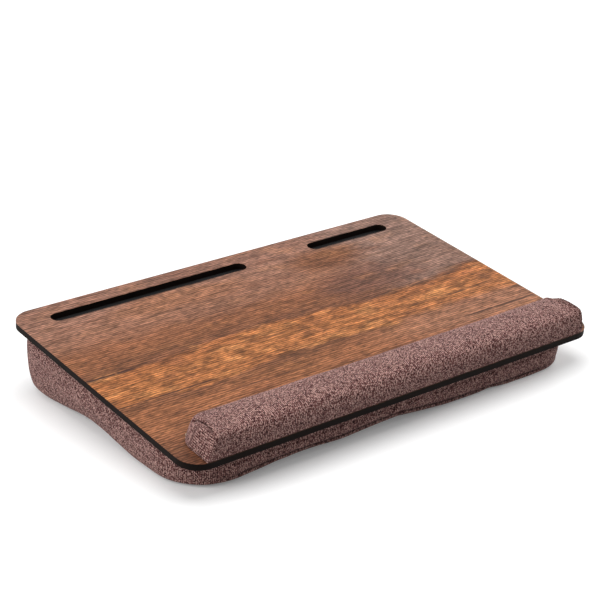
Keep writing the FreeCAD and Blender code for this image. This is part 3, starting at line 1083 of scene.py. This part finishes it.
def sewRows(name, rows, tree):
    # Rows of stitches along lines of points, as one plain mesh.
    curve = bpy.data.curves.new(name, "CURVE")
    curve.dimensions = "3D"
    for row in rows:
        line = curve.splines.new("POLY")
        line.points.add(len(row) - 1)
        line.points.foreach_set("co", np.column_stack([row, np.ones(len(row))]).astype(np.float32).ravel())
    path = newObject(name + "Path", curve)
    sewing = path.modifiers.new("sewing", "NODES")
    sewing.node_group = tree
    for item in tree.interface.items_tree:
        key = item.name.lower()
        if item.in_out == "INPUT" and key in stitching:
            sewing[item.identifier] = stitching[key]
    evaluated = path.evaluated_get(bpy.context.evaluated_depsgraph_get())
    piece = newObject(name, bpy.data.meshes.new_from_object(evaluated))
    bpy.data.objects.remove(path)
    print(name + ":", len(piece.data.polygons), "faces")
    return piece


def seamLines():
    # Lines of points in the seams of the finished covers: round the base of the cushion, up the
    # middle of its rear, along the valley, and over both ends of the wrist rest.
    count = len(cushionOutline()[1])
    points, around = places(cushionCover), outward(cushionCover)
    base = cushionSeams["baseRing"]
    floor = slice(base * count, (base + 1) * count)
    ring = points[floor] + around[floor] * stitching["proud"]
    rows = [closedRing(ring)]
    rear = count // 2
    first, last = cushionSeams["bandRings"]
    climb = np.array([index * count + rear for index in range(first, last)])
    rows.append(points[climb] + around[climb] * stitching["bandProud"])
    under = (np.abs(points[:, 0]) < 0.004) & (mark(cushionCover, "panel") > 1.9)
    under = np.nonzero(under)[0][np.argsort(points[under][:, 1])]
    clear, count = stitching["valleyClear"], stitching["valleySteps"]
    steps = np.linspace(points[under[0], 1] + clear, points[under[-1], 1] - clear, count)
    level = np.interp(steps, points[under, 1], points[under, 2]) - stitching["proud"]
    rows += [np.column_stack([np.full(count, side * stitching["valleyGap"]), steps, level]) for side in (-1, 1)]
    ends = []
    points, around = places(wristRestCover), outward(wristRestCover)
    for ring in wristSeams["rims"]:
        over = slice(*(ring * wristSeams["count"] + place for place in stitching["endPoints"]))
        ends.append(points[over] + around[over] * stitching["proud"])
    return rows, ends


threadMaterial = makeThread()
stitchTree = makeStitchTree(threadMaterial)
cushionRows, restRows = seamLines()
cushionStitches = sewRows("cushionStitches", cushionRows, stitchTree)
wristRestStitches = sewRows("wristRestStitches", restRows, stitchTree)
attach(cushionStitches, "root")
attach(wristRestStitches, "root")

# Studio

studio = {
    "camera": (-1.0972, -1.4006, 0.8274),
    "aim": (0.5669, 0.7291, -0.3836),
    "lens": 105.26,
    "sensor": 36,
    "clip": (0.05, 30),
    "floorSize": 6.0,
    "floorDrop": 0.0002,
    "world": 0.3,
    "floorTone": 0.88,
    "floorBounce": 0.45,
    "floorGlow": [(0.3, 0.14), (0.75, 0.36), (1.4, 0.85)],  # by distance from the middle
    "lamps": {
        "overLamp": {"place": (0.0, 0.0, 2.2), "size": 2.2, "power": 35.0},
        "sideLamp": {"place": (-1.9, 0.3, 1.0), "size": 1.8, "power": 29.0},
        "rightLamp": {"place": (2.0, 0.1, 1.0), "size": 1.4, "power": 15.0},
        "frontLamp": {"place": (1.7, -0.9, 0.9), "size": 1.2, "power": 9.0},
    },
}


def makeStudio():
    scene = bpy.context.scene
    view = newObject("camera", bpy.data.cameras.new("camera"))
    view.data.lens = studio["lens"]
    view.data.sensor_width = studio["sensor"]
    view.data.clip_start, view.data.clip_end = studio["clip"]
    view.location = studio["camera"]
    view.rotation_euler = Vector(studio["aim"]).to_track_quat("-Z", "Y").to_euler()
    scene.camera = view
    half = studio["floorSize"]
    mesh = bpy.data.meshes.new("floor")
    mesh.from_pydata([(-half, -half, 0), (half, -half, 0), (half, half, 0), (-half, half, 0)], [], [(0, 1, 2, 3)])
    floor = newObject("floor", mesh)
    floor.location = (0, 0, -studio["floorDrop"])
    material, tree, surface = newMaterial("paleFloor", 0.5, 0.3)
    seen = seenLight(tree)
    level = ranged(tree, seen, 0.0, 1.0, studio["floorBounce"], studio["floorTone"])
    paint(surface, grey(tree, level))
    # The pale ground stays pale far out, and takes the shadow near the desk.
    spot = shader(tree, "VectorMath", {0: objectPlace(tree)}, operation="LENGTH")
    reach = studio["floorGlow"][-1][0]
    stops = [(far / reach, (level,) * 3) for far, level in studio["floorGlow"]]
    level = ramp(tree, calc(tree, "DIVIDE", spot.outputs[1], reach), stops)
    glow = shader(tree, "Emission", {0: level, 1: seen})
    lit = shader(tree, "AddShader", {0: surface.outputs[0], 1: glow.outputs[0]})
    tree.links.new(lit.outputs[0], tree.nodes["Material Output"].inputs[0])
    dress(floor, material)
    world = bpy.data.worlds.new("studioWorld")
    scene.world = world
    world.use_nodes = True
    tree = world.node_tree
    seen = seenLight(tree)
    strength = ranged(tree, seen, 0.0, 1.0, studio["world"], 1.0)
    background = tree.nodes["Background"]
    background.inputs[0].default_value = (1, 1, 1, 1)
    tree.links.new(strength, background.inputs[1])
    for name, plan in studio["lamps"].items():
        lamp = newObject(name, bpy.data.lights.new(name, "AREA"))
        lamp.data.shape = "DISK"
        lamp.data.size = plan["size"]
        lamp.data.energy = plan["power"]
        lamp.location = plan["place"]
        lamp.rotation_euler = (-Vector(plan["place"])).to_track_quat("-Z", "Y").to_euler()
    scene.view_settings.view_transform = "Standard"


makeStudio()
print("studio ready")
